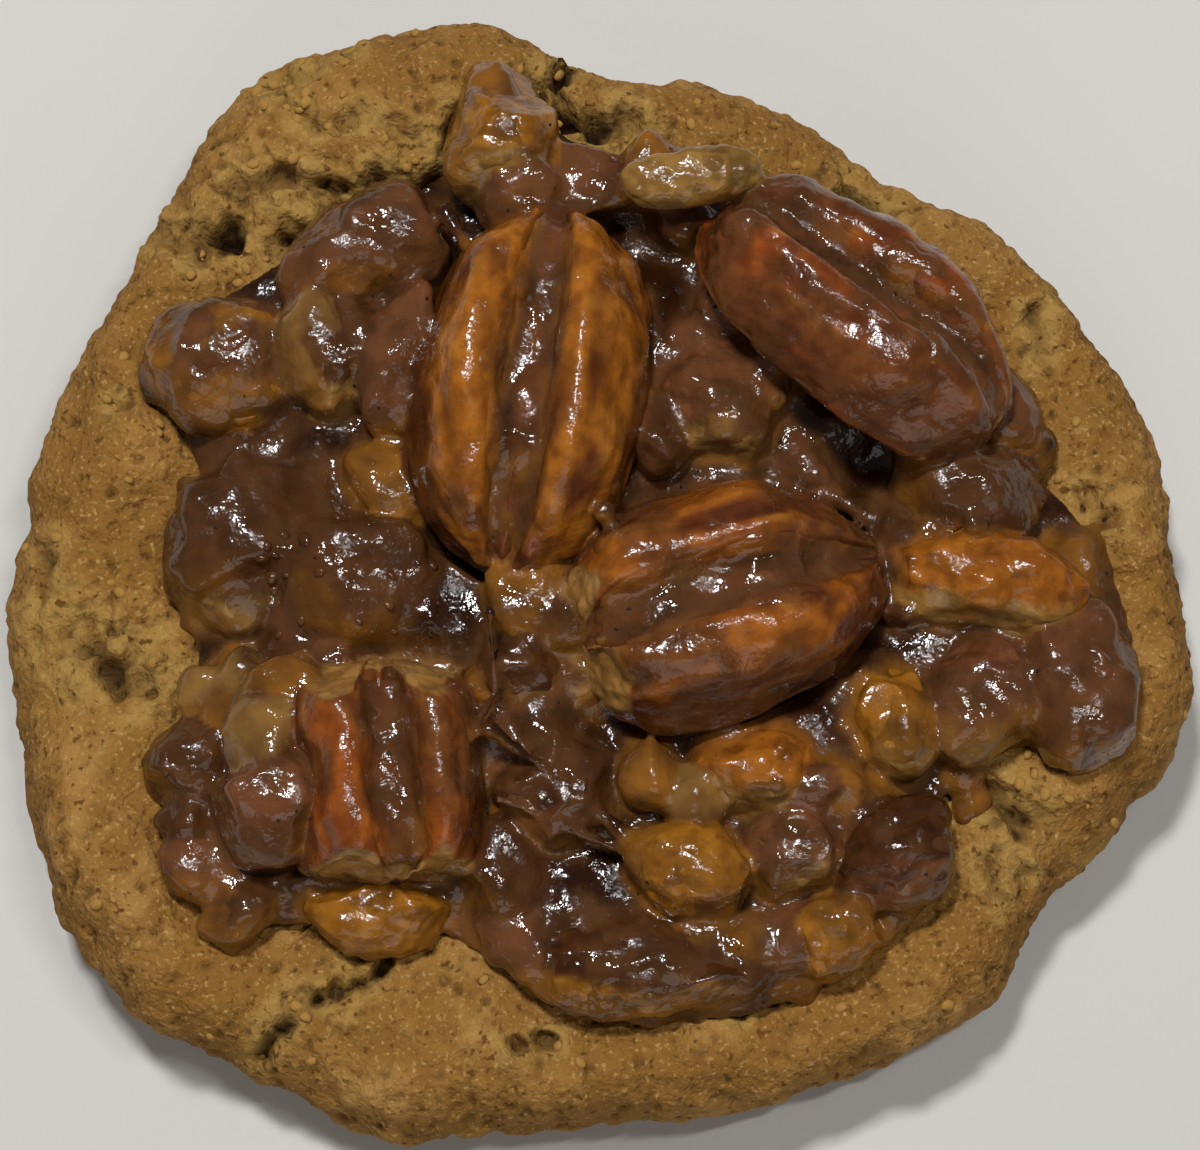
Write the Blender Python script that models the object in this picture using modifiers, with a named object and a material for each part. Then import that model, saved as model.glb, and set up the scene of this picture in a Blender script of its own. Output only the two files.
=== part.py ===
"""A pecan pie cookie: a thick soft cookie, the caramel filling heaped on it, and the pecans set in the filling.

Sizes and places are in millimetres and angles in degrees. Meshes are scaled to metres once, when they are made.
"""

import math

import bmesh
import bpy
from mathutils import Matrix, Vector, noise

MM = 0.001
BASE = "base_point"  # the empty that carries every piece
GAP = 0.4  # left between two touching pieces
SOCKET = 0.35  # how much larger than its pecan a socket in the filling is

# The cookie and the filling are turned at these mean radii, then pushed out to their uneven outlines.
STEPS = 60
COOKIE_R = 48.0
FILLING_R = 38.0

# Outline radii at the angles given, counterclockwise from +X. Between them the outline is a smooth curve.
COOKIE_OUTLINE = {
    0: 48.2, 15: 47.6, 30: 46.2, 42: 43.9, 54: 40.8, 66: 42.4, 80: 42.8, 90: 42.6, 95: 45.2, 102: 49.0,
    112: 50.2, 126: 52.0, 134: 50.4, 141: 47.8, 156: 47.6, 170: 48.6, 185: 50.0, 200: 51.6, 214: 53.6,
    224: 53.4, 235: 51.0, 252: 50.2, 260: 47.2, 272: 46.0, 284: 45.8, 300: 47.0, 314: 48.0, 324: 46.0,
    336: 48.7, 348: 50.2,
}
FILLING_OUTLINE = {
    0: 42.3, 10: 37.4, 22: 35.0, 34: 37.0, 52: 35.4, 67: 34.6, 80: 35.6, 90: 34.6, 97: 37.6, 103: 40.4,
    110: 36.0, 124: 35.2, 137: 37.0, 150: 40.0, 158: 39.8, 167: 34.0, 182: 35.6, 196: 34.2, 204: 40.4,
    214: 41.6, 224: 43.6, 233: 37.2, 247: 33.2, 258: 35.4, 270: 38.0, 282: 39.2, 296: 39.6, 308: 39.4,
    318: 38.2, 327: 33.0, 335: 37.5, 344: 44.2, 352: 43.6,
}

# (radius, height) from the centre of the top, over the rim and down to the flat base.
COOKIE_PROFILE = (
    (0, 12.0), (13, 12.1), (26, 12.4), (34, 12.8), (38, 13.1), (40.5, 14.0), (43, 14.3), (45, 13.4),
    (46.6, 11.6), (47.6, 9.0), (48, 6.2), (47.4, 3.2), (46.2, 1.0), (44.6, 0), (24, 0), (0, 0),
)
# The filling's underside repeats the cookie's inner radii, so that both share one surface, GAP apart.
FILLING_PROFILE = (
    (0, 19.4), (7, 19.4), (13, 19.2), (19, 18.8), (24, 18.3), (29, 17.7), (33, 16.9), (36, 15.9), (37.6, 14.9),
    (38, 13.1), (34, 12.8), (26, 12.4), (13, 12.1), (0, 12.0),
)
UNDERSIDE_ROWS = 5

# Swellings and dents: (x, y, spread along X, spread along Y, height).
COOKIE_LUMPS = (
    (-19, 41, 13, 8, 2.6), (-37, 22, 7, 8, 0.8), (-44, -6, 5, 8, -0.9), (-41, 4, 5, 6, 0.9), (-42, -26, 8, 8, 1.6),
    (-30, -40, 9, 7, 0.9), (-6, -42, 13, 6, 1.0), (17, -41, 9, 6, 0.4), (38, -28, 7, 6, -0.9), (44, 8, 6, 9, 0.8),
    (30, 34, 8, 7, 0.8), (-31, 28, 2.4, 3, -3.4), (-25, -40, 3, 4, -1.6), (24, 31, 3, 2.6, -1.4), (2, 38, 5, 3, -1.2),
)
FILLING_LUMPS = (
    (-5, 10, 10, 14, 1.6), (12, -5, 12, 9, 1.8), (20, 19, 11, 8, 1.4), (-18, -17, 9, 8, 1.6), (-17, 26, 4, 4, 2.2),
    (-20, 3, 7, 8, 0.8), (-4, -19, 7, 5, 0.6), (5, -12, 3, 3, -1.6), (5.5, 7, 2.5, 3, -3.0), (21, 7.5, 5, 2, -2.6),
    (22, -6.5, 4, 1.6, -2.4), (-8, -12, 2.5, 3, -1.4), (19, -22, 7, 5, 1.2), (-33, -9, 4, 4, 1.0), (6, 31, 6, 3, 1.6),
)

# Pecan halves: centre of the flat underside, (length, width, height), turn, tilt and roll, and broken ends.
# An end is (angle round Z, distance from the centre, how far the break leans).
HALVES = {
    "pecan_half_upper_left": ((-6.0, 12.9, 20.0), (31.4, 19.2, 9.4), (82, -2, -3), ()),
    "pecan_half_centre": ((9.6, -5.0, 19.6), (28, 19, 9.2), (16, 3, -4), ((188, 11.2, 12),)),
    "pecan_half_right": ((20.6, 18.2, 20.8), (30, 17, 8.6), (-39, 3, -32), ()),
    "pecan_half_lower_left": ((-19.2, -17.6, 17.6), (27, 20.4, 8.4), (92, -3, 2), ((0, 7.8, 10), (180, 8.2, 6))),
}

# Chopped pieces: centre, (length, width, height), turn, tilt and roll, and (turn, slope, reach) of each cut face.
PIECES = {
    "pecan_piece_finger": ((-8.4, 34.0, 19.8), (9.6, 8.2, 7.4), (78, 12, 0), ((200, 30, 3.4),)),
    "pecan_piece_sliver": ((7.4, 29.6, 24.6), (11, 4.6, 2.8), (9, 2, 8), ((270, 50, 1.6),)),
    "pecan_piece_upper_centre": ((9.8, 12.6, 18.8), (14, 8.8, 6.6), (62, 10, 4), ((60, 62, 2.5), (200, 20, 4.2))),
    "pecan_piece_hump": ((-18.0, 26.0, 18.2), (8.8, 7.4, 6.0), (30, 0, 0), ()),
    "pecan_piece_block_left": ((-31.0, 15.8, 16.9), (10.4, 9.6, 6.6), (20, 4, -6), ((280, 20, 4.2), (170, 10, 4.4))),
    "pecan_piece_crumb_left": ((-21.4, 16.2, 18.4), (9.0, 6.6, 5.8), (100, 0, 10), ((10, 55, 2.6),)),
    "pecan_piece_left": ((-30.4, 0.4, 16.6), (12.6, 9.4, 5.8), (80, -4, 0), ((250, 40, 4.4),)),
    "pecan_piece_nub_left": ((-33.2, -17.4, 16.0), (7.0, 6.4, 5.0), (30, 0, 0), ()),
    "pecan_piece_cut_lower_left": ((-18.2, -29.4, 15.6), (11, 5.6, 4.4), (4, 0, -10), ((270, 35, 2.2),)),
    "pecan_piece_knob_centre": ((-6.4, -8.8, 17.8), (7.6, 6.0, 5.8), (70, 0, 0), ((20, 30, 3.2),)),
    "pecan_piece_below_centre": ((-4.0, -19.4, 17.6), (9.4, 7.0, 5.4), (150, 4, 0), ((90, 40, 2.8),)),
    "pecan_piece_small_centre": ((12.2, -18.0, 18.2), (9.6, 5.4, 4.8), (4, 0, -8), ((270, 30, 2.2),)),
    "pecan_piece_rounded_end": ((7.2, -26.0, 17.8), (9.8, 6.8, 5.8), (-14, 0, 0), ()),
    "pecan_piece_broad_bottom": ((3.4, -33.6, 16.2), (19, 6.6, 5.0), (-3, 0, -6), ((268, 30, 2.9), (60, 50, 2.6))),
    "pecan_piece_lump_lower": ((15.2, -24.4, 17.4), (6.2, 5.4, 4.8), (20, 0, 0), ()),
    "pecan_piece_wrinkled": ((23.6, -24.6, 17.6), (8.8, 7.8, 6.2), (25, 0, 4), ((120, 50, 3.2),)),
    "pecan_piece_amber_lower": ((19.0, -31.2, 15.9), (6.8, 5.6, 4.6), (40, 0, 0), ((250, 30, 2.4),)),
    "pecan_piece_amber_right": ((23.6, -13.6, 18.0), (8.4, 5.2, 5.4), (100, 0, 0), ((0, 40, 2.2),)),
    "pecan_piece_film_right": ((29.8, 5.0, 16.2), (11.4, 6.2, 4.4), (-6, 0, 0), ()),
    "pecan_piece_long_right": ((31.0, -2.6, 18.6), (16.4, 6.6, 5.2), (-6, -2, 0), ((268, 30, 2.5),)),
    "pecan_piece_lump_right": ((30.6, -11.8, 16.6), (8.6, 8.0, 5.4), (60, 0, 0), ((300, 25, 3.6),)),
    "pecan_piece_block_right": ((38.8, -10.6, 17.1), (13.4, 6.8, 5.2), (95, 0, 0), ((20, 20, 3.0), (270, 10, 6.0))),
}


def clear_scene():
    for obj in list(bpy.data.objects):
        bpy.data.objects.remove(obj)


def collection(name):
    made = bpy.data.collections.new(name)
    bpy.context.scene.collection.children.link(made)
    return made


def material(name, rgb, roughness):
    made = bpy.data.materials.new(name)
    made.use_nodes = True
    shader = made.node_tree.nodes["Principled BSDF"]
    shader.inputs["Base Color"].default_value = (*rgb, 1)
    shader.inputs["Roughness"].default_value = roughness
    shader.inputs["Metallic"].default_value = 0
    return made


def place(name, mesh, group, look, location=(0, 0, 0), turns=(0, 0, 0)):
    """An object of this mesh: turned about Z, then its long X axis tilted, then rolled."""
    turn, tilt, roll = (math.radians(a) for a in turns)
    obj = bpy.data.objects.new(name, mesh)
    group.objects.link(obj)
    obj.parent = bpy.data.objects[BASE]
    obj.location = Vector(location) * MM
    obj.rotation_euler = (roll, tilt, turn)
    mesh.materials.append(look)
    mesh.shade_smooth()
    return obj


def outline_radius(outline, degrees):
    """The outline's radius at this angle, on a Catmull-Rom curve through its points."""
    angles = list(outline)
    count = len(angles)
    degrees %= 360
    after = next((i for i, a in enumerate(angles) if a > degrees), count)
    keys = [after - 2, after - 1, after, after + 1]
    p0, p1, p2, p3 = (outline[angles[k % count]] for k in keys)
    start = angles[keys[1] % count]
    span = (angles[keys[2] % count] - start) % 360
    t = ((degrees - start) % 360) / span
    return 0.5 * (2 * p1 + (p2 - p0) * t + (2 * p0 - 5 * p1 + 4 * p2 - p3) * t**2 + (3 * p1 - p0 - 3 * p2 + p3) * t**3)


def lumps_height(lumps, x, y):
    return sum(h * math.exp(-(((x - lx) / sx) ** 2) - ((y - ly) / sy) ** 2) for lx, ly, sx, sy, h in lumps)


def uneven(x, y, size, height):
    """A gentle unevenness of about this size and height."""
    return height * noise.noise(Vector((x / size, y / size, 3.7)))


def turned_mesh(name, profile):
    """A closed mesh turned about Z from a profile that runs from the top centre down to the base."""
    mesh = bpy.data.meshes.new(name + "_profile")
    points = [(r * MM, 0, z * MM) for r, z in profile]
    mesh.from_pydata(points, [(i, i + 1) for i in range(len(points) - 1)], [])
    guide = bpy.data.objects.new(name + "_profile", mesh)
    bpy.context.scene.collection.objects.link(guide)
    screw = guide.modifiers.new("Screw", "SCREW")
    screw.steps = screw.render_steps = STEPS
    screw.use_merge_vertices = True
    screw.merge_threshold = 1e-5
    bpy.context.view_layer.update()
    turned = bpy.data.meshes.new_from_object(guide.evaluated_get(bpy.context.evaluated_depsgraph_get()))
    bpy.data.objects.remove(guide)
    turned.name = name
    return turned


def spread(radius, degrees):
    """The mean radius carried to the uneven outlines: the filling's inside FILLING_R, the cookie's outside it."""
    inner = outline_radius(FILLING_OUTLINE, degrees)
    if radius <= FILLING_R:
        return radius * inner / FILLING_R
    outer = outline_radius(COOKIE_OUTLINE, degrees)
    return inner + (radius - FILLING_R) * (outer - inner) / (COOKIE_R - FILLING_R)


def cookie_top(x, y, height):
    """The cookie's top at x, y, where the plain profile has this height. The base stays flat."""
    share = min(1, max(0, height / COOKIE_PROFILE[0][1]))
    return height + share**2 * (lumps_height(COOKIE_LUMPS, x, y) + uneven(x, y, 11, 0.9))


def shape_turned(mesh, height_at):
    """Pushes a turned mesh out to its outline and sets its heights."""
    for vertex in mesh.vertices:
        x, y, z = vertex.co / MM
        angle = math.degrees(math.atan2(y, x))
        radius = spread(math.hypot(x, y), angle)
        x = radius * math.cos(math.radians(angle))
        y = radius * math.sin(math.radians(angle))
        vertex.co = Vector((x, y, height_at(x, y, z))) * MM


def add_cookie(group, look):
    """The cookie. It is the widest piece, so the whole stands centred once its own box is."""
    mesh = turned_mesh("cookie", COOKIE_PROFILE)
    shape_turned(mesh, cookie_top)
    across = [v.co.x for v in mesh.vertices]
    along = [v.co.y for v in mesh.vertices]
    bpy.data.objects[BASE].location = (-(min(across) + max(across)) / 2, -(min(along) + max(along)) / 2, 0)
    return place("cookie", mesh, group, look)


def filling_height(x, y, height):
    """The underside lies GAP above the cookie. The top bulges and dips between the pecans."""
    floor = cookie_top(x, y, min(height, FILLING_PROFILE[-UNDERSIDE_ROWS][1])) + GAP
    edge = FILLING_PROFILE[-UNDERSIDE_ROWS][1]
    if height <= edge + 1e-4:
        return floor
    rise = height - edge
    share = min(1, rise / 3)
    return floor + rise + share * (lumps_height(FILLING_LUMPS, x, y) + uneven(x, y, 6, 1.2))


def add_filling(group, look):
    mesh = turned_mesh("caramel_filling", FILLING_PROFILE)
    shape_turned(mesh, filling_height)
    return place("caramel_filling", mesh, group, look)


def ball(segments, rings):
    """A unit sphere with its poles on the X axis."""
    bm = bmesh.new()
    bmesh.ops.create_uvsphere(bm, u_segments=segments, v_segments=rings, radius=1)
    bmesh.ops.rotate(bm, verts=bm.verts, matrix=Matrix.Rotation(math.radians(90), 3, "Y"))
    return bm


def break_off(bm, degrees, reach, lean):
    """Snaps off what lies past this reach, and leaves a flat broken face."""
    turn = math.radians(degrees)
    slope = math.radians(lean)
    normal = Vector((math.cos(turn) * math.cos(slope), math.sin(turn) * math.cos(slope), math.sin(slope)))
    point = Vector((math.cos(turn), math.sin(turn), 0)) * reach
    geometry = bm.verts[:] + bm.edges[:] + bm.faces[:]
    cut = bmesh.ops.bisect_plane(bm, geom=geometry, plane_co=point, plane_no=normal, clear_outer=True)
    edges = [e for e in cut["geom_cut"] if isinstance(e, bmesh.types.BMEdge)]
    bmesh.ops.holes_fill(bm, edges=edges)


def half_shape(size, ends):
    """Half a pecan kernel: two long lobes, a lower ridge between them, and a nearly flat underside."""
    length, width, height = size
    groove_at, groove_width, groove_depth = 0.30, 0.12, 0.24
    ridge_drop, underside, droop = 0.10, 0.16, 1.0
    bm = ball(20, 11)
    for vertex in bm.verts:
        along, across, up = vertex.co
        ring = math.sqrt(max(1e-9, 1 - along**2))
        v = across / ring
        plan = ring**0.86
        x = along * length / 2
        y = v * plan * width / 2
        if up > 1e-6:
            arch = (1 - abs(v) ** 2.6) ** 0.62
            groove = groove_depth * math.exp(-(((abs(v) - groove_at) / groove_width) ** 2))
            ridge = ridge_drop * math.exp(-((v / 0.2) ** 2))
            z = height * plan * (arch - (groove + ridge) * (1 - along**6))
        else:
            z = height * underside * plan * up / ring
        vertex.co = (x, y, z - droop * along**2)
    for end in ends:
        break_off(bm, *end)
    return bm


def piece_shape(size, cuts, seed):
    """A chopped piece: a lumpy rounded body, trimmed flat where the knife or the break went through."""
    bm = ball(12, 7)
    half = Vector(size) / 2
    for vertex in bm.verts:
        direction = vertex.co.copy()
        swell = 1 + 0.16 * noise.noise(direction * 1.3 + Vector((seed * 7.3, 0, 0)))
        squared = (sum(abs(c) ** 2.8 for c in direction)) ** (-1 / 2.8)
        vertex.co = Vector(direction[i] * half[i] for i in range(3)) * squared * swell
    for degrees, slope, reach in cuts:
        turn = math.radians(degrees)
        lift = math.radians(slope)
        normal = Vector((math.cos(turn) * math.cos(lift), math.sin(turn) * math.cos(lift), math.sin(lift)))
        for vertex in bm.verts:
            past = vertex.co.dot(normal) - reach
            if past > 0:
                vertex.co -= normal * past * 0.92
    return bm


def mesh_of(name, bm, grow=0.0):
    """The mesh of this shape in metres, grown outwards by so many millimetres."""
    bmesh.ops.recalc_face_normals(bm, faces=bm.faces)
    if grow:
        bm.normal_update()
        moved = [(v, v.co + v.normal * grow) for v in bm.verts]
        for vertex, co in moved:
            vertex.co = co
    bmesh.ops.triangulate(bm, faces=bm.faces)
    bmesh.ops.scale(bm, vec=(MM, MM, MM), verts=bm.verts)
    mesh = bpy.data.meshes.new(name)
    bm.to_mesh(mesh)
    bm.free()
    return mesh


def cut_socket(filling, name, bm, cutters, look, location, turns):
    """Takes room for one pecan out of the filling."""
    cutter = place(name + "_socket", mesh_of(name + "_socket", bm, SOCKET), cutters, look, location, turns)
    cutter.hide_render = True
    cutter.display_type = "WIRE"
    boolean = filling.modifiers.new(name, "BOOLEAN")
    boolean.operation = "DIFFERENCE"
    boolean.object = cutter


def add_pecans(group, cutters, filling, look):
    shapes = {}
    for name, (location, size, turns, ends) in HALVES.items():
        shapes[name] = (lambda size=size, ends=ends: half_shape(size, ends), location, turns)
    for seed, (name, (location, size, turns, cuts)) in enumerate(PIECES.items()):
        shapes[name] = (lambda size=size, cuts=cuts, seed=seed: piece_shape(size, cuts, seed), location, turns)
    for name, (shape, location, turns) in shapes.items():
        place(name, mesh_of(name, shape()), group, look, location, turns)
        cut_socket(filling, name, shape(), cutters, look, location, turns)


def main():
    clear_scene()
    parts = collection("pecan_pie_cookie")
    cutters = collection("cutters")
    cutters.hide_render = True
    parts.objects.link(bpy.data.objects.new(BASE, None))
    baked = material("baked_cookie", (0.29, 0.16, 0.05), 0.85)
    caramel = material("caramel", (0.06, 0.022, 0.008), 0.2)
    pecan = material("pecan", (0.24, 0.085, 0.016), 0.35)
    add_cookie(parts, baked)
    filling = add_filling(parts, caramel)
    add_pecans(parts, cutters, filling, pecan)


main()
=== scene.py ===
"""A pecan pie cookie: a thick soft cookie, caramel filling heaped on it, and pecans set in the filling."""

import math

import bpy
import numpy as np
from mathutils import Euler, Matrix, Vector
from mathutils.bvhtree import BVHTree
from mathutils.kdtree import KDTree


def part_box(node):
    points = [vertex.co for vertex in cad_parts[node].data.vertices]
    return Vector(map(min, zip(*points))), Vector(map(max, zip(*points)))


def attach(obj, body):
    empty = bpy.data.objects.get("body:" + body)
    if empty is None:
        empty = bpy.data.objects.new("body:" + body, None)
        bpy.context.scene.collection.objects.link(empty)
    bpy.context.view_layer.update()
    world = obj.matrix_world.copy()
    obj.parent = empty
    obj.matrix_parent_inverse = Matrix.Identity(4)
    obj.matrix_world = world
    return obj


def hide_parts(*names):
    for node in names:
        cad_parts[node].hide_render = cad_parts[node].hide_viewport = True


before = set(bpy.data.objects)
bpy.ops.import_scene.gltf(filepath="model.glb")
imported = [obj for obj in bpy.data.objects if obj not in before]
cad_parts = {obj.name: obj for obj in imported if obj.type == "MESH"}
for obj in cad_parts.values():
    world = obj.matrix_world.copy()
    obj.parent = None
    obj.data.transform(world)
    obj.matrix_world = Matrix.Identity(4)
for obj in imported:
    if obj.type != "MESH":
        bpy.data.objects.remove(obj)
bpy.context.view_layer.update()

# ----------------------------------------------------------------------------------------------------------
# The cookie: soft brown-sugar dough, scooped and baked into a thick uneven round. Its skin is dull and finely
# crumbed, darkened with painted shade in the hollows between its swellings, and torn open where the dough
# spread and where lobes of it met.
# ----------------------------------------------------------------------------------------------------------
MM = 0.001


def linear(hex_colour):
    """An sRGB hex colour as linear RGB."""
    values = (int(hex_colour[i : i + 2], 16) / 255 for i in (0, 2, 4))
    return np.array([v / 12.92 if v <= 0.04045 else ((v + 0.055) / 1.055) ** 2.4 for v in values])


def smooth(low, high, x):
    """0 below low, 1 above high, and a soft step between."""
    t = np.clip((x - low) / (high - low), 0, 1)
    return t * t * (3 - 2 * t)


def lattice(cell, seed):
    """A repeatable random number from 0 to 1 for each whole-numbered cell."""
    mixed = cell[..., 0] * 374761393 + cell[..., 1] * 668265263
    mixed = mixed + cell[..., 2] * 2147483647 + seed * 1274126177
    mixed = (mixed ^ (mixed >> 13)) * 1103515245 & 0x7FFFFFFF
    mixed = (mixed ^ (mixed >> 16)) * 69069 & 0x7FFFFFFF
    return (mixed ^ (mixed >> 11)) % 100003 / 100003


def waves(points, size, seed=0):
    """Smooth unevenness from -1 to 1 that changes over about this many millimetres."""
    scaled = points / size + seed * 13.7
    cell = np.floor(scaled).astype(np.int64)
    part = scaled - cell
    part = part**3 * (part * (part * 6 - 15) + 10)
    total = np.zeros(len(points))
    for corner in np.ndindex(2, 2, 2):
        step = np.array(corner)
        weight = np.prod(np.where(step, part, 1 - part), axis=1)
        total += weight * (lattice(cell + step, seed) * 2 - 1)
    return total


def grains(points, size, seed=0):
    """(distance to the nearest of scattered centres, that centre's random number), in cells of this size."""
    scaled = points / size + seed * 7.1
    cell = np.floor(scaled).astype(np.int64)
    nearest = np.full(len(points), 9.0)
    mark = np.zeros(len(points))
    for corner in np.ndindex(3, 3, 3):
        other = cell + np.array(corner) - 1
        jitter = np.stack([lattice(other, seed * 10 + k) for k in (1, 2, 3)], axis=1)
        distance = np.linalg.norm(scaled - other - jitter, axis=1)
        closer = distance < nearest
        nearest = np.where(closer, distance, nearest)
        mark = np.where(closer, lattice(other, seed * 10 + 4), mark)
    return nearest * size, mark


def merged(node):
    """A CAD node's corners in millimetres, each once, and its triangles."""
    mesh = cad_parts[node].data
    mesh.calc_loop_triangles()
    corners = np.empty(len(mesh.vertices) * 3)
    mesh.vertices.foreach_get("co", corners)
    faces = np.empty(len(mesh.loop_triangles) * 3, np.int32)
    mesh.loop_triangles.foreach_get("vertices", faces)
    corners, index = np.unique(np.round(corners.reshape(-1, 3) / MM, 3), axis=0, return_inverse=True)
    faces = index.reshape(-1)[faces].reshape(-1, 3)
    whole = (faces[:, 0] != faces[:, 1]) & (faces[:, 1] != faces[:, 2]) & (faces[:, 0] != faces[:, 2])
    return corners, faces[whole]


def new_object(name, corners, faces):
    """A smooth-shaded object from corners in millimetres."""
    mesh = bpy.data.meshes.new(name)
    mesh.from_pydata((np.asarray(corners) * MM).tolist(), [], [tuple(face) for face in faces])
    mesh.shade_smooth()
    made = bpy.data.objects.new(name, mesh)
    bpy.context.scene.collection.objects.link(made)
    return made


def settled(obj, modifiers):
    """The object with these modifiers worked into its mesh: (type, {setting: value}) pairs."""
    for kind, settings in modifiers:
        modifier = obj.modifiers.new(kind, kind)
        for setting, value in settings.items():
            setattr(modifier, setting, value)
    graph = bpy.context.evaluated_depsgraph_get()
    mesh = bpy.data.meshes.new_from_object(obj.evaluated_get(graph))
    obj.modifiers.clear()
    old = obj.data
    obj.data = mesh
    bpy.data.meshes.remove(old)
    return obj


def points_of(obj):
    """(corners in millimetres, outward normals) of an object."""
    corners = np.empty(len(obj.data.vertices) * 3)
    obj.data.vertices.foreach_get("co", corners)
    normals = np.empty(len(obj.data.vertices) * 3)
    obj.data.vertex_normals.foreach_get("vector", normals)
    return corners.reshape(-1, 3) / MM, normals.reshape(-1, 3)


def move_points(obj, corners):
    """Puts an object's corners at these places, in millimetres."""
    obj.data.vertices.foreach_set("co", (corners * MM).reshape(-1).astype(np.float32))
    obj.data.update()


def triangles_of(obj):
    obj.data.calc_loop_triangles()
    faces = np.empty(len(obj.data.loop_triangles) * 3, np.int32)
    obj.data.loop_triangles.foreach_get("vertices", faces)
    return faces.reshape(-1, 3)


def mark(obj, name, values):
    """Stores one number for each corner, for the material to read."""
    layer = obj.data.attributes.new(name, "FLOAT", "POINT")
    layer.data.foreach_set("value", np.asarray(values, np.float32))


def tree_of(corners, faces):
    return BVHTree.FromPolygons(corners.tolist(), faces.tolist())


def ray(tree, start, direction, miss):
    """Where a ray meets the tree's surface, or the point given for a miss."""
    hit = tree.ray_cast(Vector(start), Vector(direction))[0]
    return np.array(hit) if hit else np.array(miss)


AROUND = 1120  # points round the edge
RIM_ROWS, SIDE_ROWS = 40, 36
CORE_IN, CORE_UP = 6.5, 6.6  # where the rounded side is measured from: in from the edge, and up
OUTSIDE = 90  # mm from the middle, beyond everything
OVERHEAD = 40  # mm up, above the cookie
HEAP_FOOT = 14.2  # mm up, where the filling's edge meets the rim
SIDE_ARC = 172  # degrees that the side turns through, from straight up to under the edge

rough_cookie = new_object("rough_cookie", *merged("cookie"))
settled(rough_cookie, [("SUBSURF", {"levels": 2})])
cookie_tree = tree_of(points_of(rough_cookie)[0], triangles_of(rough_cookie))
bpy.data.objects.remove(rough_cookie)
filling_tree = tree_of(*merged("caramel_filling"))

rows = []
for step in range(AROUND):
    angle = 2 * math.pi * step / AROUND
    out = np.array([math.cos(angle), math.sin(angle), 0])
    edge = np.linalg.norm(ray(cookie_tree, out * OUTSIDE + [0, 0, CORE_UP], -out, out * 48)[:2])
    heap = np.linalg.norm(ray(filling_tree, out * OUTSIDE + [0, 0, HEAP_FOOT], -out, out * 38)[:2])
    core = edge - CORE_IN
    hidden = min(heap - 3, core - 1)
    reach = [hidden * t for t in (0.02, 0.25, 0.5, 0.75)] + list(np.linspace(hidden, core, RIM_ROWS))
    row = [ray(cookie_tree, out * r + [0, 0, OVERHEAD], (0, 0, -1), out * r + [0, 0, 13]) for r in reach]
    for k in range(1, SIDE_ROWS + 1):
        fall = math.radians(90 - SIDE_ARC * k / SIDE_ROWS)
        direction = out * math.cos(fall) + np.array([0, 0, math.sin(fall)])
        start = out * core + [0, 0, CORE_UP]
        row.append(ray(cookie_tree, start, direction, start + direction * 6))
    row += [out * core * t + [0, 0, 0] for t in (0.9, 0.6, 0.3, 0.02)]
    rows.append(row)
rows = np.array(rows)
grid = np.arange(rows.shape[0] * rows.shape[1]).reshape(rows.shape[:2])
following = np.roll(grid, -1, axis=0)
quads = np.stack([grid[:, :-1], grid[:, 1:], following[:, 1:], following[:, :-1]], axis=-1)
quads = quads.reshape(-1, 4).tolist()
quads.append(grid[:, 0].tolist())
quads.append(grid[::-1, -1].tolist())
cookie = new_object("soft_cookie", rows.reshape(-1, 3), quads)

# Tears and hollows in the rim: (points along it, half width, depth), and single pits: (x, y, radius, depth).
TEARS = (
    ([(-2.6, 42.4), (-3.4, 40.0), (-8, 38.8), (-11.5, 37.2), (-13.0, 34.6)], 1.5, 3.0),
    ([(-37.9, 29.0), (-35.0, 27.8), (-33.6, 25.6)], 1.4, 2.8),
    ([(-30.0, 30.6), (-26.0, 32.4), (-23.0, 31.0), (-17.6, 32.0)], 1.7, 2.4),
    ([(-26.4, 38.6), (-23.4, 36.4), (-19.0, 37.2), (-15.4, 35.6)], 1.0, 1.0),
    ([(-28.0, 41.0), (-24.0, 41.6), (-20.5, 43.4)], 0.8, 0.9),
    ([(-26.6, 27.0), (-20.4, 30.0), (-13.6, 31.4), (-11.2, 34.6)], 1.7, 3.4),
    (
        [(-16.6, -31.6), (-18.2, -34.4), (-20.6, -35.6), (-25, -36.6), (-26.4, -39.4), (-28.0, -41.4)],
        1.0, 2.6,
    ),
    ([(-43.6, -6.2), (-41.0, -9.0), (-36.6, -9.4)], 2.8, 2.4),
    ([(-46.0, 1.6), (-45.2, -2.4)], 1.2, 1.4),
    ([(36.4, 21.6), (36.8, 17.2)], 1.2, 2.2),
    ([(20.6, 31.2), (23.6, 29.4)], 1.6, 2.6),
    ([(29.4, -18.6), (34.6, -21.4)], 1.9, 2.0),
    ([(31.6, -24.8), (32.6, -28.2)], 1.0, 2.0),
    ([(-4.0, 37.4), (2.4, 36.8)], 1.8, 3.0),
    ([(40.4, 4.8), (41.6, 3.4)], 1.4, 1.8),
)
PITS = (
    (-31.0, 28.4, 2.3, 3.8), (-25.8, -38.2, 1.5, 2.6), (-21.0, -35.8, 1.6, 2.8), (-19.0, -32.6, 1.3, 2.0),
    (-6.6, -40.0, 1.2, 1.8), (-4.2, -39.2, 1.2, 1.8), (11.2, -36.6, 1.2, 2.0), (-42.0, -7.4, 1.4, 1.6),
    (-39.8, 12.8, 1.2, 1.6), (22.4, 30.4, 1.3, 1.6), (34.0, -19.4, 0.9, 1.0), (35.2, -25.6, 0.8, 0.9),
)


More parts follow.
